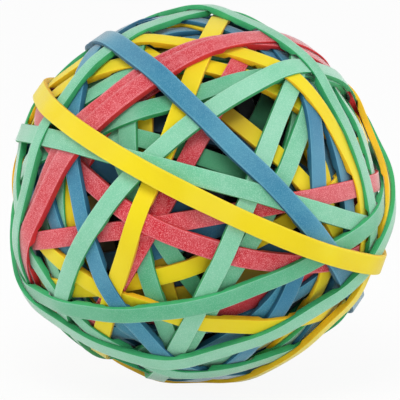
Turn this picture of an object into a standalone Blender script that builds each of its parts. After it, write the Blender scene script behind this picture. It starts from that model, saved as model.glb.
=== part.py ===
"""A rubber band ball: bands wound one over another round a ball of earlier bands.

The origin is the ball's centre. +Z is up and the front of the ball faces -Y.
"""

import math

import bpy
import numpy as np
from mathutils import Matrix, Vector
from mathutils.bvhtree import BVHTree
from mathutils.geometry import convex_hull_2d

# Sizes, in metres. The core is what is left of the ball once the bands that are modelled
# one by one are taken off it, to this depth.
BALL_RADIUS = 0.038
WINDING_DEPTH = 0.0066
CORE_RADIUS = BALL_RADIUS - WINDING_DEPTH
BAND_WIDTH = 0.0036
BAND_THICKNESS = 0.0009
REST_GAP = 0.00005

# A band is pressed thin where it is piled higher than the rest of its own loop. The last
# few wound keep nearly all their thickness: a power of the winding order brings it back.
PRESSED_THICKNESS = 0.00028
THICKNESS_POWER = 16

# The first band wound is drawn with the fewest flats round it, and the last with the most.
FEWEST_FLATS = 21
MOST_FLATS = 28
SHARP_EDGE = math.radians(45)
CORE_SUBDIVISIONS = 3

# How finely a band feels what lies under it, along its length and across its width.
STEPS_ROUND = 300
LANES_ACROSS = 7

# The front view that the routes are read in: x runs right and y runs down, and the ball
# fills a circle of this centre and radius. The eye's distance is in ball radii.
VIEW_CENTRE = (197, 197)
VIEW_RADIUS = 194
EYE_DISTANCE = 26
EYE_ELEVATION = math.radians(12)

# How far out the first and the last band wound lie where the eye sees them, in ball radii.
FIRST_REACH = 0.83
LAST_REACH = 1.01

# Between these two shares of the view's radius, what shows comes to lie as far out as the
# ball itself, since only a band that stands out is seen at the rim.
RIM_START = 0.45
RIM_END = 0.95

COLOURS = {
    "green": (0.30, 0.66, 0.44),
    "yellow": (0.88, 0.72, 0.05),
    "red": (0.72, 0.11, 0.13),
    "blue": (0.07, 0.27, 0.45),
}
CORE_COLOUR = (0.05, 0.12, 0.18)
ROUGHNESS = 0.75

# Each band's colour and the points of the front view that its middle passes, in the order
# of winding, innermost first. Two points give a great circle, and three a smaller circle.
BANDS = [
    ("red", (85, 165), (92, 150)),
    ("blue", (142, 120), (158, 122)),
    ("blue", (50, 202), (42, 217)),
    ("yellow", (165, 298), (190, 294)),
    ("yellow", (155, 250), (158, 263)),
    ("blue", (265, 248), (300, 262)),
    ("green", (205, 157), (235, 168)),
    ("blue", (200, 235), (225, 225)),
    ("green", (168, 250), (176, 262)),
    ("red", (60, 200), (48, 228)),
    ("blue", (288, 342), (268, 358)),
    ("green", (340, 86), (362, 108)),
    ("red", (215, 320), (250, 310)),
    ("yellow", (8, 188), (11, 212)),
    ("red", (130, 20), (170, 10)),
    ("green", (28, 262), (48, 297)),
    ("yellow", (170, 380), (200, 388)),
    ("green", (97, 350), (135, 378)),
    ("blue", (118, 362), (145, 377)),
    ("blue", (120, 28), (245, 20)),
    ("green", (42, 268), (52, 292)),
    ("blue", (308, 302), (280, 318)),
    ("blue", (283, 300), (263, 323)),
    ("blue", (78, 62), (97, 46)),
    ("blue", (60, 62), (35, 112)),
    ("green", (215, 374), (322, 328)),
    ("yellow", (329, 298), (337, 225)),
    ("yellow", (160, 281), (200, 269)),
    ("green", (310, 108), (298, 150)),
    ("yellow", (143, 42), (241, 113), (300, 173)),
    ("green", (124, 120), (141, 262), (152, 300)),
    ("green", (75, 92), (100, 78), (135, 65)),
    ("yellow", (206, 59), (232, 65)),
    ("green", (275, 200), (252, 246), (225, 293)),
    ("red", (238, 62), (200, 133), (155, 215)),
    ("green", (352, 82), (386, 195)),
    ("blue", (333, 115), (358, 200)),
    ("blue", (314, 103), (323, 176)),
    ("green", (262, 73), (165, 97), (118, 113)),
    ("yellow", (30, 246), (85, 287), (205, 329)),
    ("red", (36, 242), (200, 220), (381, 183)),
    ("red", (78, 178), (160, 232), (300, 268)),
    ("green", (292, 88), (204, 302), (153, 386)),
    ("yellow", (150, 29), (262, 55), (357, 158)),
    ("yellow", (222, 8), (147, 186), (98, 335)),
    ("blue", (65, 170), (190, 376)),
    ("green", (12, 140), (14, 235)),
    ("red", (262, 33), (175, 50), (95, 101)),
    ("red", (250, 33), (135, 84), (30, 212)),
    ("green", (290, 67), (170, 135), (70, 260)),
    ("green", (14, 130), (200, 177), (350, 219)),
    ("green", (92, 58), (42, 126), (15, 228)),
    ("green", (262, 23), (345, 110), (376, 205)),
    ("green", (60, 309), (200, 311), (368, 229)),
    ("blue", (140, 57), (240, 147), (348, 275)),
    ("yellow", (389, 175), (335, 325), (250, 383)),
    ("green", (350, 289), (170, 364), (70, 334)),
    ("yellow", (32, 82), (175, 188), (372, 262)),
]


def clear_scene():
    for obj in list(bpy.data.objects):
        bpy.data.objects.remove(obj)


def rubber(name, colour):
    material = bpy.data.materials.new(name)
    material.use_nodes = True
    shader = material.node_tree.nodes["Principled BSDF"]
    shader.inputs["Base Color"].default_value = (*colour, 1)
    shader.inputs["Roughness"].default_value = ROUGHNESS
    shader.inputs["Metallic"].default_value = 0
    material.diffuse_color = (*colour, 1)
    return material


def direction_seen_at(point, reach):
    """The direction from the ball's centre to what the eye sees at a point of the front view.

    reach is how far from the centre it lies, in ball radii, if it is well inside the rim.
    """
    across = (point[0] - VIEW_CENTRE[0]) / VIEW_RADIUS
    up = (VIEW_CENTRE[1] - point[1]) / VIEW_RADIUS
    near_rim = (math.hypot(across, up) - RIM_START) / (RIM_END - RIM_START)
    near_rim = min(1, max(0, near_rim))
    reach += (1 - reach) * near_rim**2
    rim = math.sqrt(EYE_DISTANCE**2 - 1)
    sight = Vector((across, rim, up)).normalized()
    eye = Vector((0, -EYE_DISTANCE, 0))
    along = -eye.dot(sight)
    inside = max(0, reach**2 - (eye.length_squared - along**2))
    seen = eye + sight * (along - math.sqrt(inside))
    return (Matrix.Rotation(-EYE_ELEVATION, 3, "X") @ seen).normalized()


class Loop:
    """A circle of directions round the ball, which a band's middle follows."""

    def __init__(self, points, reach):
        seen = [direction_seen_at(point, reach) for point in points]
        if len(seen) == 2:
            self.axis = seen[0].cross(seen[1]).normalized()
            self.rise = 0
        else:
            self.axis = (seen[1] - seen[0]).cross(seen[2] - seen[0]).normalized()
            self.rise = self.axis.dot(seen[0])
        self.spread = math.sqrt(1 - self.rise**2)
        self.start = (seen[0] - self.axis * self.axis.dot(seen[0])).normalized()
        self.quarter = self.axis.cross(self.start)

    def outward(self, angle):
        """The direction of the middle at an angle round the loop."""
        level = self.start * math.cos(angle) + self.quarter * math.sin(angle)
        return self.axis * self.rise + level * self.spread

    def sideways(self, angle):
        """The direction across the band at an angle round the loop."""
        level = self.start * math.cos(angle) + self.quarter * math.sin(angle)
        return self.axis * self.spread - level * self.rise


def height_under(laid, direction):
    """The distance from the ball's centre to the top of what is laid, in a direction."""
    hit = laid.ray_cast(direction * (2 * CORE_RADIUS), -direction)[0]
    return hit.length if hit else CORE_RADIUS


def heights_round(laid, loop):
    """The height that a band has to clear, at even steps round its loop."""
    heights = np.empty(STEPS_ROUND)
    reach = np.linspace(-0.5, 0.5, LANES_ACROSS) * (BAND_WIDTH / CORE_RADIUS)
    for step in range(STEPS_ROUND):
        angle = math.tau * step / STEPS_ROUND
        outward, sideways = loop.outward(angle), loop.sideways(angle)
        lanes = [(outward + sideways * float(lane)).normalized() for lane in reach]
        heights[step] = max(height_under(laid, lane) for lane in lanes)
    return np.maximum(heights, np.maximum(np.roll(heights, 1), np.roll(heights, -1)))


def corner_without(outline, edge):
    """Where the neighbours of an edge meet once it is gone, and the area that this adds."""
    count = len(outline)
    before, first = outline[edge - 1], outline[edge]
    second, after = outline[(edge + 1) % count], outline[(edge + 2) % count]
    into, out = first - before, second - after
    turn = into.cross(out)
    if turn == 0:
        return None, math.inf
    share = (after - before).cross(out) / turn
    if share < 1:
        return None, math.inf
    corner = before + into * share
    return corner, abs((first - corner).cross(second - corner))


def taut_outline(heights, flats):
    """The corners of a band stretched round every height, in the plane of its loop."""
    points = []
    for step, height in enumerate(heights):
        angle = math.tau * step / STEPS_ROUND
        points.append(Vector((math.cos(angle), math.sin(angle))) * float(height))
    outline = [points[index] for index in convex_hull_2d(points)]
    while len(outline) > flats:
        added = [corner_without(outline, edge)[1] for edge in range(len(outline))]
        edge = added.index(min(added))
        outline[edge] = corner_without(outline, edge)[0]
        del outline[(edge + 1) % len(outline)]
    return outline


def pressed_thickness(piled, wound):
    """The thickness of a band piled this much above its loop's mean height.

    wound is the share of the bands that are wound by then.
    """
    restored = wound**THICKNESS_POWER
    least = PRESSED_THICKNESS + (BAND_THICKNESS - PRESSED_THICKNESS) * restored
    return min(BAND_THICKNESS, least + max(0, -piled))


def band_mesh(name, loop, outline, wound):
    """A band of rectangular section, with one ring of four corners at each outline corner."""
    vertices = []
    faces = []
    mean = sum(corner.length for corner in outline) / len(outline)
    for ring, corner in enumerate(outline):
        angle = math.atan2(corner.y, corner.x)
        inner = loop.outward(angle) * corner.length
        outer = inner + loop.outward(angle) * pressed_thickness(corner.length - mean, wound)
        half = loop.sideways(angle) * (BAND_WIDTH / 2)
        vertices += [inner - half, inner + half, outer + half, outer - half]
        here, there = 4 * ring, 4 * ((ring + 1) % len(outline))
        for side in range(4):
            beside = (side + 1) % 4
            faces.append((here + side, here + beside, there + beside, there + side))
    mesh = bpy.data.meshes.new(name)
    mesh.from_pydata(vertices, [], faces)
    mesh.shade_smooth()
    mesh.set_sharp_from_angle(angle=SHARP_EDGE)
    return mesh


def add_core():
    """The ball of earlier bands, which the photographed bands hide."""
    bpy.ops.mesh.primitive_ico_sphere_add(subdivisions=CORE_SUBDIVISIONS, radius=CORE_RADIUS)
    core = bpy.context.object
    core.name = "inner_winding"
    core.data.name = core.name
    core.data.materials.append(rubber("inner_rubber", CORE_COLOUR))
    core.data.shade_smooth()
    return core


def main():
    clear_scene()
    core = add_core()
    materials = {colour: rubber(f"{colour}_rubber", COLOURS[colour]) for colour in COLOURS}
    vertices = [vertex.co.copy() for vertex in core.data.vertices]
    faces = [tuple(face.vertices) for face in core.data.polygons]
    for order, (colour, *points) in enumerate(BANDS, start=1):
        name = f"band_{order:02d}_{colour}"
        wound = order / len(BANDS)
        flats = round(FEWEST_FLATS + wound * (MOST_FLATS - FEWEST_FLATS))
        loop = Loop(points, FIRST_REACH + wound * (LAST_REACH - FIRST_REACH))
        laid = BVHTree.FromPolygons(vertices, faces)
        outline = taut_outline(heights_round(laid, loop) + REST_GAP, flats)
        mesh = band_mesh(name, loop, outline, wound)
        mesh.materials.append(materials[colour])
        bpy.context.scene.collection.objects.link(bpy.data.objects.new(name, mesh))
        base = len(vertices)
        vertices += [vertex.co.copy() for vertex in mesh.vertices]
        faces += [tuple(base + index for index in face.vertices) for face in mesh.polygons]


main()
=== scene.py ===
"""The looks of a rubber band ball: every band is a powdered strip of rubber with cut sides.

Each packed band is laid again along its own path, at its own height, in the order of
winding. Where there is room below it has its full thickness, and where it crosses
another band it is pressed thin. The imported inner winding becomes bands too.
"""

import math

import bpy
import numpy as np
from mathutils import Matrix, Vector
from mathutils.geometry import convex_hull_2d


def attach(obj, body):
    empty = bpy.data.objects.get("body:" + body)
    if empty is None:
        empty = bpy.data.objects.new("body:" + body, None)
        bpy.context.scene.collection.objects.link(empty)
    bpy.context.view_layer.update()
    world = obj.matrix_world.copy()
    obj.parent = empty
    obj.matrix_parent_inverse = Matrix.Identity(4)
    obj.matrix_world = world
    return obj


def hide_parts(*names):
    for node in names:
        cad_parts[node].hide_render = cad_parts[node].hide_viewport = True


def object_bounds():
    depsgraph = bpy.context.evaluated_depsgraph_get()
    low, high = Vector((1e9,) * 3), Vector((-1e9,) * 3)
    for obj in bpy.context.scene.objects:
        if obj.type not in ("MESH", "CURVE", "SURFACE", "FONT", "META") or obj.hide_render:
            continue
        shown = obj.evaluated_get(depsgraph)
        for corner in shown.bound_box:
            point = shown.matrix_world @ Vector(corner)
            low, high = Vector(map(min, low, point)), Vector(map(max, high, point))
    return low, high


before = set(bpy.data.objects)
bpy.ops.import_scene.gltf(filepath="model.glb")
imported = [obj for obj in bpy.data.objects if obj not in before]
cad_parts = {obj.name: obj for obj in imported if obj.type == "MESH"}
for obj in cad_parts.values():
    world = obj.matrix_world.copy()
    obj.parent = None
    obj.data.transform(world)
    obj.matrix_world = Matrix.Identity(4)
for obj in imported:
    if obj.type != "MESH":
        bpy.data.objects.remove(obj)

cad_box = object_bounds()

# Sizes of a band, in metres, and how much wider than that some bands are.
BAND_WIDTH = 0.0036
BAND_THICKNESS = 0.00125
LEAST_THICKNESS = 0.00026
CONTACT_GAP = 0.00002
WIDE_BANDS = {
    "band_58_yellow": 1.08, "band_55_blue": 1.08, "band_42_red": 1.06,
    "band_48_red": 1.12, "band_49_red": 1.12,
}

# The rounding of a band's long edges: the bevel, which is at most a share of the cut side's
# height, and the share of the bevel by which the corner itself is set back.
EDGE_ROUNDING = 0.00013
BEVEL_SHARE = 0.3
CORNER_SHARE = 0.3

# The thickness that a band has above what it crosses, and how much thicker the very last
# bands stay, which nothing presses down: the power keeps that to the end of the winding.
PRESSED_THICKNESS = 0.0008
LATE_THICKNESS = 0.0002
LATE_POWER = 16

# A band leans to its lower side by a share of the step below it. The step counts up to a
# limit, and the lean has one too.
LEAN_SHARE = 0.09
LARGEST_STEP = 0.0015
LARGEST_LEAN = 0.0003

# Unevenness as waves round the loop: their size and their numbers of turns. The size of the
# first is a share of the width, and the rest are in metres.
WIDTH_WAVES = (0.05, (2, 3, 7, 11))
PATH_WAVES = (0.00022, (2, 3, 5))
LEAN_WAVES = (0.00012, (2, 5, 9))
HIDDEN_PATH_WAVES = (0.0003, (1, 2, 4))
HIDDEN_HEIGHT_WAVES = (0.0003, (1, 2, 3))

# Steps along a band, and across it: LANES are the places of its face points as shares of
# its half width, and each feels the cells of the height map that lie under it.
STEPS = 270
FINE_STEPS = 8
LANES = np.array([-0.93, -0.5, 0.0, 0.5, 0.93])
STRIPES = 9
FINE_STRIPES = 4
STRIPES_UNDER_LANE = ((0, 2), (1, 4), (3, 6), (5, 8), (7, 9))
STRIPES_UNDER_SIDE = 3

# Over how many steps to either side heights and leans are evened out.
HEIGHT_SMOOTHING = 3
LEAN_SMOOTHING = 5

# The points of a section: over the face, down a cut side, back below and up the other side.
# Between two points of a cut side the rubber is cut rubber.
FACE_POINTS = len(LANES)
SIDE_POINTS = 4
SECTION_POINTS = 2 * (FACE_POINTS + SIDE_POINTS)
CUT_PARTS = (
    *range(FACE_POINTS, FACE_POINTS + SIDE_POINTS - 1),
    *range(SECTION_POINTS - SIDE_POINTS, SECTION_POINTS - 1),
)

# How a packed band is read: the corners of each of its rings, the digits of a metre to which
# two corners are one, and the samples on each rounded corner and each straight side.
CORNERS_IN_RING = 4
CORNER_DIGITS = 6
SAMPLES_ROUND_CORNER = 12
SAMPLES_ON_SIDE = 24

# The height map's cells along one side of each cube face.
FACE_CELLS = 480

# The winding that the photographed bands hide, in metres. Its bands are laid from the
# outermost one down, each a little lower than the one before. Their widths are between two
# shares of a band's, and their circles lie at most a share of the radius off the centre.
INNER_TOP = 0.0313
INNER_LOW = 0.0292
INNER_BANDS = 64
INNER_THICKNESS = 0.001
INNER_STEPS = 170
INNER_WIDTHS = (0.93, 1.05)
INNER_RISE = 0.12
INNER_COLOURS = {"green": 0.3, "yellow": 0.2, "red": 0.2, "blue": 0.3}
DEEPEST = 0.024

# The front view of the photograph, in pixels of its 400 x 400 frame.
FRAME_PIXELS = 400
VIEW_CENTRE = (197, 197)
VIEW_RADIUS = 194
BALL_RADIUS = 0.038
EYE_DISTANCE = 26 * BALL_RADIUS
EYE_ELEVATION = math.radians(12)
SENSOR_MM = 36
FARTHEST_SEEN = 20

# Soft lamps round the ball, all turned to it: the place, the side's length and the watts.
LAMPS = {
    "top": ((-0.1, -0.5, 0.8), 0.45, 4.2),
    "left": ((-0.8, 0.1, 0.3), 0.7, 2.2),
    "right": ((0.85, 0.1, 0.3), 0.7, 2.8),
    "low": ((0.3, -0.8, 0.02), 0.3, 0.9),
}
WORLD_LIGHT = 0.4

# How much of the floor that the camera sees is plain white, over its own lit surface.
FLOOR_GLOW = 0.92
FLOOR_RADIUS = 4
FLOOR_SIDES = 96
FLOOR_ROUGHNESS = 0.9
FLOOR_SPECULAR = 0.1

random = np.random.default_rng(seed=7)


class HeightMap:
    """A height for every direction from the ball's centre, kept on the six faces of a cube."""

    def __init__(self, height):
        self.heights = np.full(6 * FACE_CELLS**2, height)

    def cells(self, points):
        longest = np.abs(points).argmax(axis=-1)[..., None]
        main = np.take_along_axis(points, longest, -1)[..., 0]
        first = np.take_along_axis(points, (longest + 1) % 3, -1)[..., 0]
        second = np.take_along_axis(points, (longest + 2) % 3, -1)[..., 0]
        face = 2 * longest[..., 0] + (main < 0)
        column, row = self.cell_of(first / main), self.cell_of(second / main)
        return (face * FACE_CELLS + row) * FACE_CELLS + column

    @staticmethod
    def cell_of(slope):
        share = np.arctan(slope) / (math.pi / 2) + 0.5
        return np.clip((share * FACE_CELLS).astype(int), 0, FACE_CELLS - 1)

    def raise_to(self, points):
        np.maximum.at(self.heights, self.cells(points), np.linalg.norm(points, axis=-1))

    def lower_to(self, points):
        np.minimum.at(self.heights, self.cells(points), np.linalg.norm(points, axis=-1))


class Route:
    """The circle of directions that a band's middle follows round the ball."""

    def __init__(self, axis, rise):
        self.axis = axis
        self.rise = rise
        self.spread = math.sqrt(1 - rise**2)
        across = np.eye(3)[np.abs(axis).argmin()]
        self.start = np.cross(axis, across)
        self.start /= np.linalg.norm(self.start)
        self.quarter = np.cross(axis, self.start)

    def frames(self, angles):
        """The directions outward and sideways at each angle."""
        level = np.outer(np.cos(angles), self.start) + np.outer(np.sin(angles), self.quarter)
        outward = self.axis * self.rise + level * self.spread
        sideways = self.axis * self.spread - level * self.rise
        return outward, sideways

    def angle_of(self, direction):
        return math.atan2(direction @ self.quarter, direction @ self.start)


def route_through(directions):
    """The route through unit directions that lie on one circle."""
    middle = directions.mean(axis=0)
    axis = np.linalg.svd(directions - middle)[2][2]
    return Route(axis, float(middle @ axis))


def packed_rings(node):
    """The corners of a packed band, four to a ring, in order round the ball."""
    points = np.array([vertex.co for vertex in node.data.vertices])
    points = np.unique(points.round(CORNER_DIGITS), axis=0)
    rough = route_through(points / np.linalg.norm(points, axis=1)[:, None])
    angles = np.array([rough.angle_of(point) for point in points])
    order = np.argsort(angles)
    gaps = np.diff(angles[order], prepend=angles[order[-1]] - math.tau)
    order = np.roll(order, -int(np.argmax(gaps > gaps.max() / 2)))
    return points[order].reshape(-1, CORNERS_IN_RING, 3)


def rounded(corners):
    """A closed line that touches the middle of each side of an outline and rounds each corner."""
    before = (np.roll(corners, 1, axis=0) + corners) / 2
    after = (np.roll(corners, -1, axis=0) + corners) / 2
    share = np.linspace(0, 1, SAMPLES_ROUND_CORNER, endpoint=False)[None, :, None]
    line = (
        before[:, None] * (1 - share) ** 2
        + corners[:, None] * 2 * share * (1 - share)
        + after[:, None] * share**2
    )
    return line.reshape(-1, 2)


def heights_of_line(line, angles):
    """The distance from the centre at each angle, of a closed line round it."""
    places = np.arctan2(line[:, 1], line[:, 0])
    order = np.argsort(places)
    radii = np.linalg.norm(line, axis=1)[order]
    return np.interp(angles, places[order], radii, period=math.tau)


def taut_heights(heights, angles):
    """The height of a line pulled tight round every height."""
    points = np.column_stack([np.cos(angles), np.sin(angles)]) * heights[:, None]
    hull = convex_hull_2d([Vector(point) for point in points])
    corners = points[sorted(hull)]
    ends = np.roll(corners, -1, axis=0)
    share = np.linspace(0, 1, SAMPLES_ON_SIDE, endpoint=False)[None, :, None]
    line = (corners[:, None] * (1 - share) + ends[:, None] * share).reshape(-1, 2)
    return heights_of_line(line, angles)


def packed_band(node, angles):
    """A packed band's route and the height of its outer face at each angle."""
    rings = packed_rings(node)
    middles = rings.mean(axis=1)
    outward = middles / np.linalg.norm(middles, axis=1)[:, None]
    route = route_through(outward)
    heights = np.einsum("rcx,rx->rc", rings, outward).max(axis=1)
    places = np.array([route.angle_of(direction) for direction in outward])
    corners = np.column_stack([np.cos(places), np.sin(places)]) * heights[:, None]
    corners = corners[np.argsort(places)]
    return route, heights_of_line(rounded(corners), angles)


def spread_over(values, reach, pick):
    """The largest or smallest of the values within a reach of steps, round the loop."""
    return pick([np.roll(values, shift, axis=0) for shift in range(-reach, reach + 1)], axis=0)


def averaged(values, reach):
    return np.mean([np.roll(values, shift, axis=0) for shift in range(-reach, reach + 1)], axis=0)


def smooth_above(values, reach):
    """A smooth line that stays above the values."""
    return averaged(spread_over(values, reach, np.max), reach)


def smooth_below(values, reach):
    """A smooth line that stays below the values."""
    return averaged(spread_over(values, reach, np.min), reach)


def waves(angles, size, turns):
    """A gentle closed wave round the loop: its size and its numbers of turns."""
    total = np.zeros_like(angles)
    for turn in turns:
        total += np.sin(turn * angles + random.uniform(0, math.tau)) * random.uniform(0.5, 1)
    return total * size / len(turns)


def loop_angles(steps):
    return np.arange(steps) * math.tau / steps


def stripe_middles(count):
    """The middles of equal stripes across a band, between its edges at -1 and 1."""
    return (np.arange(count) + 0.5) / count * 2 - 1


class Strip:
    """A band on its route: its half width, sideways shift, height, lean and what carries it."""

    def __init__(self, route, steps, width):
        self.route = route
        self.steps = steps
        self.angles = loop_angles(steps)
        self.half = np.full(steps, width / 2)
        self.shift = np.zeros(steps)
        self.height = np.zeros(steps)
        self.lean = np.zeros(steps)
        self.support = np.zeros((steps, STRIPES))

    def fine_grid(self):
        """Closely spaced angles, and places across the band from -1 to 1."""
        offsets = (np.arange(FINE_STEPS) + 0.5) / FINE_STEPS - 0.5
        angles = (np.arange(self.steps)[:, None] + offsets).ravel() * math.tau / self.steps
        return angles, stripe_middles(STRIPES * FINE_STRIPES)

    def at(self, values, angles):
        return np.interp(angles, self.angles, values, period=math.tau)

    def points(self, angles, places, heights):
        """Points on the band at places across it, with a height for each step or each point."""
        outward, sideways = self.route.frames(angles)
        across = places * self.at(self.half, angles)[:, None]
        across = across + self.at(self.shift, angles)[:, None]
        flat = outward[:, None] * heights[..., None]
        return flat + sideways[:, None] * across[..., None]

    def face_points(self):
        angles, places = self.fine_grid()
        heights = self.at(self.height, angles)[:, None]
        heights = heights + self.at(self.lean, angles)[:, None] * places
        return self.points(angles, places, heights)

    def felt(self, heightmap, height, pick):
        """What the height map holds under each step and stripe of the band, along outward."""
        angles, places = self.fine_grid()
        guess = self.points(angles, places, self.at(height, angles)[:, None] + 0 * places)
        held = heightmap.heights[heightmap.cells(guess)]
        across = np.linalg.norm(np.cross(guess, self.route.frames(angles)[0][:, None]), axis=-1)
        held = np.sqrt(np.maximum(held**2 - across**2, 0))
        held = held.reshape(self.steps, FINE_STEPS, STRIPES, FINE_STRIPES)
        held = pick(pick(held, axis=3), axis=1)
        return spread_over(held, 1, pick)


def settle(strip, laid, packed, pressed):
    """Pulls a strip tight over what is laid, leaning a little to the side with less below it."""
    strip.support = strip.felt(laid, packed, np.max)
    carried = strip.support.max(axis=1)
    wanted = np.minimum(carried + pressed, np.maximum(packed, carried + LEAST_THICKNESS))
    outer = averaged(taut_heights(wanted, strip.angles), HEIGHT_SMOOTHING)
    left = strip.support[:, :STRIPES_UNDER_SIDE].max(axis=1)
    right = strip.support[:, -STRIPES_UNDER_SIDE:].max(axis=1)
    step = np.clip(right - left, -LARGEST_STEP, LARGEST_STEP)
    lean = averaged(step, LEAN_SMOOTHING) * LEAN_SHARE + waves(strip.angles, *LEAN_WAVES)
    strip.lean = np.clip(lean, -LARGEST_LEAN, LARGEST_LEAN)
    strip.height = outer - np.abs(strip.lean) / 2
    face = strip.height[:, None] + strip.lean[:, None] * stripe_middles(STRIPES)
    short = (strip.support + LEAST_THICKNESS - face).max(axis=1)
    strip.height += smooth_above(np.maximum(short, 0), HEIGHT_SMOOTHING)


def wide_side(half, heights, bevels):
    """The points over the face or the underside, whose outermost two start the bevels."""
    across = half[:, None] * LANES
    across[:, 0] = -half + bevels[:, 0]
    across[:, -1] = half - bevels[:, 1]
    return list(zip(across.T, heights.T))


def cut_side(sign, half, top, bottom, bevel):
    """The points down one side, with a rounded corner above and below."""
    corner = CORNER_SHARE * bevel
    edge = sign * half
    set_back = edge - sign * corner
    return [
        (set_back, top - corner),
        (edge, top - bevel),
        (edge, bottom + bevel),
        (set_back, bottom + corner),
    ]


def section(strip, thickness):
    """The points round the strip's section at each step, as places across and heights."""
    support = [strip.support[:, a:b].max(axis=1) for a, b in STRIPES_UNDER_LANE]
    support = np.stack(support, axis=1) + CONTACT_GAP
    outer = strip.height[:, None] + strip.lean[:, None] * LANES
    inner = np.maximum(outer - thickness, support)
    edges = outer[:, [0, -1]] - inner[:, [0, -1]]
    bevels = np.minimum(EDGE_ROUNDING, BEVEL_SHARE * edges)
    face = wide_side(strip.half, outer, bevels)
    right = cut_side(1, strip.half, outer[:, -1], inner[:, -1], bevels[:, 1])
    underside = wide_side(strip.half, inner, bevels)
    left = cut_side(-1, strip.half, outer[:, 0], inner[:, 0], bevels[:, 0])
    across, heights = zip(*face, *right, *underside[::-1], *left[::-1])
    return np.stack(across, axis=1) + strip.shift[:, None], np.stack(heights, axis=1)


def strip_geometry(strip, thickness):
    """The vertices, quads, cut marks and strip coordinates of one band.

    The strip coordinates are metres along the band and round its section, from the middle
    of its face.
    """
    across, heights = section(strip, thickness)
    outward, sideways = strip.route.frames(strip.angles)
    points = outward[:, None] * heights[..., None] + sideways[:, None] * across[..., None]
    indices = np.arange(strip.steps), np.arange(SECTION_POINTS)
    step, side = np.meshgrid(*indices, indexing="ij")
    later, beside = (step + 1) % strip.steps, (side + 1) % SECTION_POINTS
    corners = [(step, side), (later, side), (later, beside), (step, beside)]
    quads = np.stack([a * SECTION_POINTS + b for a, b in corners], axis=-1).reshape(-1, 4)
    cut = np.isin(side, CUT_PARTS).ravel()
    length = np.linalg.norm(np.roll(points, -1, axis=0) - points, axis=-1).mean()
    round_section = np.linalg.norm(np.roll(points, -1, axis=1) - points, axis=-1).mean(axis=0)
    round_section = np.concatenate([[0], np.cumsum(round_section)])
    round_section -= round_section[FACE_POINTS - 1] / 2
    u = np.stack([step, step + 1, step + 1, step], axis=-1) * length
    v = np.stack([side, side, side + 1, side + 1], axis=-1)
    strip_place = np.stack([u, round_section[v]], axis=-1).reshape(-1, 2)
    return points.reshape(-1, 3), quads, cut, strip_place


def mesh_object(name, parts, materials):
    """One object of several strips, with its cut sides on the second material."""
    vertices, quads, cuts, strip_places = zip(*parts)
    bases = np.cumsum([0] + [len(points) for points in vertices[:-1]])
    quads = np.concatenate([corners + base for corners, base in zip(quads, bases)])
    mesh = bpy.data.meshes.new(name)
    mesh.from_pydata(np.concatenate(vertices).tolist(), [], quads.tolist())
    mesh.polygons.foreach_set("material_index", np.concatenate(cuts).astype(np.int32))
    place = mesh.uv_layers.new(name="strip")
    place.data.foreach_set("uv", np.concatenate(strip_places).ravel())
    for material in materials:
        mesh.materials.append(material)
    mesh.shade_smooth()
    mesh.update()
    made = bpy.data.objects.new(name, mesh)
    bpy.context.scene.collection.objects.link(made)
    return made


def srgb(*values):
    """A colour written as 0 to 255 screen values, in the linear values that shaders take."""
    shares = np.array(values) / 255
    linear = np.where(shares <= 0.04045, shares / 12.92, ((shares + 0.055) / 1.055) ** 2.4)
    return (*linear.tolist(), 1)


WHITE = srgb(255, 255, 255)
FLOOR_COLOURS = (srgb(240, 240, 240), srgb(246, 246, 246))

# For each colour: the face, its paler powder and darker rubber, how much powder shows,
# the cut side with its darker streaks, the face low in the winding, without powder and
# darker there as painted shade, and how strong the dusty sheen is.
LOOKS = {
    "green": {
        "face": srgb(114, 202, 158), "powder": srgb(202, 238, 222), "deep": srgb(70, 170, 122),
        "amount": 0.36, "cut": srgb(62, 178, 112), "streak": srgb(40, 150, 90),
        "low": srgb(50, 152, 98), "sheen": 0.9,
    },
    "yellow": {
        "face": srgb(244, 221, 8), "powder": srgb(252, 240, 90), "deep": srgb(236, 205, 6),
        "amount": 0.07, "cut": srgb(250, 202, 22), "streak": srgb(240, 178, 12),
        "low": srgb(214, 178, 32), "sheen": 0.5,
    },
    "red": {
        "face": srgb(212, 30, 48), "powder": srgb(255, 176, 182), "deep": srgb(192, 22, 40),
        "amount": 0.54, "cut": srgb(224, 46, 50), "streak": srgb(188, 28, 36),
        "low": srgb(192, 40, 52), "sheen": 1.0,
    },
    "blue": {
        "face": srgb(54, 138, 168), "powder": srgb(144, 206, 220), "deep": srgb(32, 110, 150),
        "amount": 0.24, "cut": srgb(42, 110, 142), "streak": srgb(24, 82, 114),
        "low": srgb(38, 98, 132), "sheen": 1.0,
    },
}

# How dusty a band is: the least and most of the thin veil of powder along it, the share of
# its colour's specks that it has, and the least and most of its darker rubber.
POWDER_LEVELS = {
    "plain": {"veil": (0, 0.16), "specks": 1, "darker": (0, 0.65)},
    "pale": {"veil": (0.14, 0.28), "specks": 0.9, "darker": (0, 0.3)},
    "bare": {"veil": (0, 0.22), "specks": 0.5, "darker": (0.5, 1)},
}
PALE_BANDS = ("band_43_green", "band_50_green", "band_57_green")
BARE_BANDS = ("band_31_green", "band_37_blue", "band_38_blue", "band_39_green", "band_54_green")

# Noise patterns: how fine each is, in repeats to a metre, its detail and its roughness.
SPECKS = (5600, 2, 0.75)
BLOTCHES = (520, 4, 0.6)
TONE_DRIFT = (62, 2, 0.5)
VEIL_DRIFT = (48, 2, 0.5)
STREAKS = (3200, 3, 0.6)
CUT_DRIFT = (240, 3, 0.55)
FLOOR_GRAIN = (90, 3, 0.5)

# A streak's pattern is drawn out along the band and made finer across it.
STREAK_STRETCH = (0.12, 1.6, 1)

# Between which of its values, from 0 to 1, a pattern goes from nothing to its most.
SPECKS_BETWEEN = (0.52, 0.6)
BLOTCHES_BETWEEN = (0.42, 0.72)
VEIL_BETWEEN = (0.4, 0.62)
STREAKS_BETWEEN = (0.4, 0.7)
DRIFT_BETWEEN = (0.3, 0.7)

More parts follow.
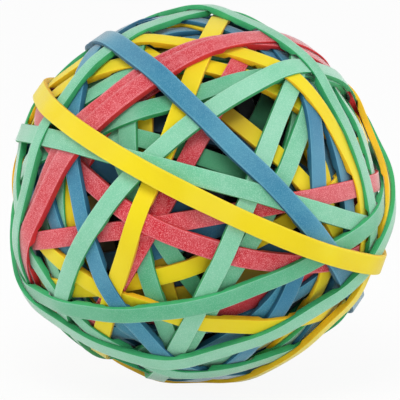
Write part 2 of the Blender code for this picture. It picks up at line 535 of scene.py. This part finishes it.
# How strong the blotches are beside the specks, and the streaks and the drift on cut sides.
BLOTCH_SHARE = 0.35
STREAK_SHARE = 0.5

# How rough each surface is, from its least to its most, its faint gloss, how rough its sheen
# is, the sheen of a cut side, and the depth in metres and the strength of its bumps.
FACE_ROUGHNESS = (0.62, 0.8)
FACE_SPECULAR = 0.3
FACE_SHEEN_ROUGHNESS = 0.37
FACE_BUMPS = (0.00007, 0.6)
CUT_ROUGHNESS = (0.5, 0.68)
CUT_SPECULAR = 0.35
CUT_SHEEN = 0.12
CUT_SHEEN_ROUGHNESS = 0.4
CUT_BUMPS = (0.00005, 0.6)

# A painted highlight makes a face paler towards its edges, between these distances from its
# middle.
EDGE_HIGHLIGHT_BETWEEN = (0.0015, 0.00168)
EDGE_HIGHLIGHT = 0.16

# A painted stand-in for the shadow between the bands, by distance from the ball's centre:
# over the first range the colour goes from near black to that of the low winding, and over
# the second from that to the band's own.
SHADED_BETWEEN = (0.0304, 0.0327)
LOW_BETWEEN = (0.0314, 0.0334)
SHADED_COLOUR = srgb(8, 14, 20)


def new_material(name):
    material = bpy.data.materials.new(name)
    material.use_nodes = True
    return material, material.node_tree, material.node_tree.nodes["Principled BSDF"]


def noise(tree, coordinates, scale, detail, roughness):
    node = tree.nodes.new("ShaderNodeTexNoise")
    node.inputs["Scale"].default_value = scale
    node.inputs["Detail"].default_value = detail
    node.inputs["Roughness"].default_value = roughness
    tree.links.new(coordinates, node.inputs["Vector"])
    return node.outputs["Fac"]


def stretched(tree, value, between, least, most):
    """The value between two limits mapped smoothly onto the range from least to most."""
    node = tree.nodes.new("ShaderNodeMapRange")
    node.interpolation_type = "SMOOTHSTEP"
    low, high = between
    ranges = {"From Min": low, "From Max": high, "To Min": least, "To Max": most}
    for socket, number in ranges.items():
        node.inputs[socket].default_value = number
    tree.links.new(value, node.inputs["Value"])
    return node.outputs["Result"]


def mixed(tree, share, first, second):
    """A colour between two, each a constant or another node's colour."""
    node = tree.nodes.new("ShaderNodeMix")
    node.data_type = "RGBA"
    tree.links.new(share, node.inputs["Factor"])
    for socket, colour in ((node.inputs[6], first), (node.inputs[7], second)):
        if isinstance(colour, tuple):
            socket.default_value = colour
        else:
            tree.links.new(colour, socket)
    return node.outputs[2]


def calculated(tree, operation, first, second=None):
    """A number worked out from a node's number, and from another node's or a constant."""
    node = tree.nodes.new("ShaderNodeMath")
    node.operation = operation
    tree.links.new(first, node.inputs[0])
    if isinstance(second, float):
        node.inputs[1].default_value = second
    elif second is not None:
        tree.links.new(second, node.inputs[1])
    return node.outputs[0]


def shaded_by_depth(tree, colour, low):
    """Painted shade: the colour high on the ball, a darker one between bands, near black deep
    inside.
    """
    place = tree.nodes.new("ShaderNodeTexCoord").outputs["Object"]
    distance = tree.nodes.new("ShaderNodeVectorMath")
    distance.operation = "LENGTH"
    tree.links.new(place, distance.inputs[0])
    height = distance.outputs["Value"]
    lit = mixed(tree, stretched(tree, height, LOW_BETWEEN, 0, 1), low, colour)
    return mixed(tree, stretched(tree, height, SHADED_BETWEEN, 0, 1), SHADED_COLOUR, lit)


def painted_edge_highlight(tree, strip_place):
    """How much painted highlight a face has at its edges, from its distance across the strip from
    the middle.
    """
    parts = tree.nodes.new("ShaderNodeSeparateXYZ")
    tree.links.new(strip_place, parts.inputs[0])
    across = calculated(tree, "ABSOLUTE", parts.outputs["Y"])
    return stretched(tree, across, EDGE_HIGHLIGHT_BETWEEN, 0, EDGE_HIGHLIGHT)


def add_bumps(tree, shader, height, distance, strength):
    node = tree.nodes.new("ShaderNodeBump")
    node.inputs["Distance"].default_value = distance
    node.inputs["Strength"].default_value = strength
    tree.links.new(height, node.inputs["Height"])
    tree.links.new(node.outputs["Normal"], shader.inputs["Normal"])


def set_gloss(shader, specular, sheen, sheen_roughness):
    """The faint gloss of the rubber and the white sheen of the dust on it."""
    shader.inputs["Specular IOR Level"].default_value = specular
    shader.inputs["Sheen Weight"].default_value = sheen
    shader.inputs["Sheen Roughness"].default_value = sheen_roughness
    shader.inputs["Sheen Tint"].default_value = WHITE


def face_material(colour, level):
    """Soft rubber under powder: a slow drift of tone, a thin veil, blotches and fine specks, with
    a painted highlight at its edges and painted shade low in the winding.
    """
    look, dust = LOOKS[colour], POWDER_LEVELS[level]
    material, tree, shader = new_material(f"{colour}_face_{level}")
    powder = look["amount"] * dust["specks"]
    coordinates = tree.nodes.new("ShaderNodeTexCoord")
    place = coordinates.outputs["Object"]
    grain = noise(tree, place, *SPECKS)
    blotch = noise(tree, place, *BLOTCHES)
    drift = stretched(tree, noise(tree, place, *TONE_DRIFT), DRIFT_BETWEEN, *dust["darker"])
    veil = stretched(tree, noise(tree, place, *VEIL_DRIFT), VEIL_BETWEEN, *dust["veil"])
    cloud = stretched(tree, blotch, BLOTCHES_BETWEEN, 0, BLOTCH_SHARE * powder)
    specks = stretched(tree, grain, SPECKS_BETWEEN, 0, powder)
    # A painted highlight along both edges of the face.
    edge_highlight = painted_edge_highlight(tree, coordinates.outputs["UV"])
    shown = mixed(tree, drift, look["face"], look["deep"])
    for layer in (veil, cloud, specks, edge_highlight):
        shown = mixed(tree, layer, shown, look["powder"])
    # Painted shade: darker low in the winding and near black deep inside.
    tree.links.new(shaded_by_depth(tree, shown, look["low"]), shader.inputs["Base Color"])
    roughness = stretched(tree, blotch, DRIFT_BETWEEN, *FACE_ROUGHNESS)
    tree.links.new(roughness, shader.inputs["Roughness"])
    add_bumps(tree, shader, grain, *FACE_BUMPS)
    set_gloss(shader, FACE_SPECULAR, look["sheen"], FACE_SHEEN_ROUGHNESS)
    return material


def cut_material(colour):
    """The sides where the band was cut from its tube: cleaner rubber, streaked lengthwise."""
    look = LOOKS[colour]
    material, tree, shader = new_material(f"{colour}_cut")
    coordinates = tree.nodes.new("ShaderNodeTexCoord")
    lengthwise = tree.nodes.new("ShaderNodeMapping")
    lengthwise.inputs["Scale"].default_value = STREAK_STRETCH
    tree.links.new(coordinates.outputs["UV"], lengthwise.inputs["Vector"])
    streaks = noise(tree, lengthwise.outputs["Vector"], *STREAKS)
    drift = noise(tree, coordinates.outputs["Object"], *CUT_DRIFT)
    shown = look["cut"]
    for pattern, between in ((drift, DRIFT_BETWEEN), (streaks, STREAKS_BETWEEN)):
        layer = stretched(tree, pattern, between, 0, STREAK_SHARE)
        shown = mixed(tree, layer, shown, look["streak"])
    # Painted shade: darker low in the winding and near black deep inside.
    tree.links.new(shaded_by_depth(tree, shown, look["streak"]), shader.inputs["Base Color"])
    roughness = stretched(tree, streaks, DRIFT_BETWEEN, *CUT_ROUGHNESS)
    tree.links.new(roughness, shader.inputs["Roughness"])
    add_bumps(tree, shader, streaks, *CUT_BUMPS)
    set_gloss(shader, CUT_SPECULAR, CUT_SHEEN, CUT_SHEEN_ROUGHNESS)
    return material


def colour_of(name):
    return name.split("_")[-1]


def powder_level(name):
    if name in PALE_BANDS:
        return "pale"
    return "bare" if name in BARE_BANDS else "plain"


def random_route():
    axis = random.normal(size=3)
    return Route(axis / np.linalg.norm(axis), random.uniform(-INNER_RISE, INNER_RISE))


def lay_hidden_band(laid, ceiling, top):
    """A band of the hidden winding, which passes under all that is laid above it."""
    strip = Strip(random_route(), INNER_STEPS, BAND_WIDTH * random.uniform(*INNER_WIDTHS))
    strip.shift = waves(strip.angles, *HIDDEN_PATH_WAVES)
    level = top + waves(strip.angles, *HIDDEN_HEIGHT_WAVES)
    room = strip.felt(ceiling, level, np.min).min(axis=1)
    strip.height = smooth_below(np.minimum(level, room - CONTACT_GAP), HEIGHT_SMOOTHING)
    laid.raise_to(strip.face_points())
    strip.height -= INNER_THICKNESS
    ceiling.lower_to(strip.face_points())
    strip.height += INNER_THICKNESS
    return strip


def packed_strip(name):
    """A strip on a packed band's route, a little uneven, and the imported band's heights."""
    route, packed = packed_band(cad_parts[name], loop_angles(STEPS))
    strip = Strip(route, STEPS, BAND_WIDTH * WIDE_BANDS.get(name, 1))
    strip.half *= 1 + waves(strip.angles, *WIDTH_WAVES)
    strip.shift = waves(strip.angles, *PATH_WAVES)
    return strip, packed


def add_hidden_bands(laid, faces, cuts):
    """Lays the hidden winding and shows it as one object for each colour."""
    ceiling = HeightMap(INNER_TOP)
    hidden = {colour: [] for colour in INNER_COLOURS}
    for top in np.linspace(INNER_TOP, INNER_LOW, INNER_BANDS):
        strip = lay_hidden_band(laid, ceiling, float(top))
        colour = str(random.choice(list(INNER_COLOURS), p=list(INNER_COLOURS.values())))
        hidden[colour].append(strip_geometry(strip, INNER_THICKNESS))
    for colour, parts in hidden.items():
        materials = (faces[colour, "plain"], cuts[colour])
        made = mesh_object(f"inner_bands_{colour}", parts, materials)
        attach(made, "root")
        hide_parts("inner_winding")


def add_ball():
    names = sorted(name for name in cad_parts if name.startswith("band_"))
    looks = sorted({(colour_of(name), powder_level(name)) for name in names})
    faces = {(colour, level): face_material(colour, level) for colour, level in looks}
    cuts = {colour: cut_material(colour) for colour in LOOKS}
    strips = [packed_strip(name) for name in names]
    laid = HeightMap(DEEPEST)
    add_hidden_bands(laid, faces, cuts)

    for count, (name, (strip, packed)) in enumerate(zip(names, strips), start=1):
        colour = colour_of(name)
        wound = count / len(names)
        settle(strip, laid, packed, PRESSED_THICKNESS + LATE_THICKNESS * wound**LATE_POWER)
        laid.raise_to(strip.face_points())
        materials = (faces[colour, powder_level(name)], cuts[colour])
        parts = [strip_geometry(strip, BAND_THICKNESS)]
        made = mesh_object(f"rubber_{name}", parts, materials)
        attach(made, "root")
        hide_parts(name)


def shown_background(tree):
    """1 for the rays that show the background as it is: straight, mirrored or through glass."""
    rays = tree.nodes.new("ShaderNodeLightPath").outputs
    mirrored = calculated(tree, "MAXIMUM", rays["Is Camera Ray"], rays["Is Glossy Ray"])
    return calculated(tree, "MAXIMUM", mirrored, rays["Is Transmission Ray"])


def add_floor(height):
    """A pale floor that shows white to the camera and keeps the ball's soft shadow."""
    bpy.ops.mesh.primitive_circle_add(
        vertices=FLOOR_SIDES, radius=FLOOR_RADIUS, fill_type="NGON", location=(0, 0, height)
    )
    floor = bpy.context.object
    floor.name = "floor"
    material, tree, shader = new_material("pale_floor")
    place = tree.nodes.new("ShaderNodeTexCoord").outputs["Object"]
    pale = mixed(tree, noise(tree, place, *FLOOR_GRAIN), *FLOOR_COLOURS)
    tree.links.new(pale, shader.inputs["Base Color"])
    shader.inputs["Roughness"].default_value = FLOOR_ROUGHNESS
    shader.inputs["Specular IOR Level"].default_value = FLOOR_SPECULAR
    glow = tree.nodes.new("ShaderNodeEmission")
    share = calculated(tree, "MULTIPLY", shown_background(tree), FLOOR_GLOW)
    blend = tree.nodes.new("ShaderNodeMixShader")
    tree.links.new(share, blend.inputs["Fac"])
    tree.links.new(shader.outputs["BSDF"], blend.inputs[1])
    tree.links.new(glow.outputs["Emission"], blend.inputs[2])
    output = tree.nodes["Material Output"]
    tree.links.new(blend.outputs["Shader"], output.inputs["Surface"])
    floor.data.materials.append(material)


def add_lamp(name, place, side, watts):
    lamp = bpy.data.lights.new(name, "AREA")
    lamp.size = side
    lamp.energy = watts
    made = bpy.data.objects.new(name, lamp)
    made.location = place
    made.rotation_euler = Vector(place).to_track_quat("Z", "Y").to_euler()
    bpy.context.scene.collection.objects.link(made)


def add_world(strength):
    """White light from all round, and plain white wherever the camera sees past the floor."""
    world = bpy.data.worlds.new("studio")
    bpy.context.scene.world = world
    world.use_nodes = True
    tree = world.node_tree
    level = tree.nodes.new("ShaderNodeMapRange")
    level.inputs["To Min"].default_value = strength
    level.inputs["To Max"].default_value = 1
    tree.links.new(shown_background(tree), level.inputs["Value"])
    background = tree.nodes["Background"]
    background.inputs["Color"].default_value = WHITE
    tree.links.new(level.outputs["Result"], background.inputs["Strength"])


def add_camera():
    """A long lens at the photograph's height, with the ball's centre on its pixel."""
    camera = bpy.data.objects.new("camera", bpy.data.cameras.new("camera"))
    bpy.context.scene.collection.objects.link(camera)
    back = Vector((0, -math.cos(EYE_ELEVATION), math.sin(EYE_ELEVATION)))
    camera.location = back * EYE_DISTANCE
    camera.rotation_euler = (math.pi / 2 - EYE_ELEVATION, 0, 0)
    tangent = math.sqrt(EYE_DISTANCE**2 - BALL_RADIUS**2)
    camera.data.sensor_width = SENSOR_MM
    camera.data.lens = VIEW_RADIUS * tangent / BALL_RADIUS * SENSOR_MM / FRAME_PIXELS
    camera.data.shift_x = (FRAME_PIXELS / 2 - VIEW_CENTRE[0]) / FRAME_PIXELS
    camera.data.shift_y = (VIEW_CENTRE[1] - FRAME_PIXELS / 2) / FRAME_PIXELS
    camera.data.clip_end = FARTHEST_SEEN
    bpy.context.scene.camera = camera


add_ball()
add_floor(cad_box[0].z)
add_world(WORLD_LIGHT)
for lamp_name, lamp_values in LAMPS.items():
    add_lamp(lamp_name, *lamp_values)
add_camera()
bpy.context.scene.view_settings.view_transform = "Standard"
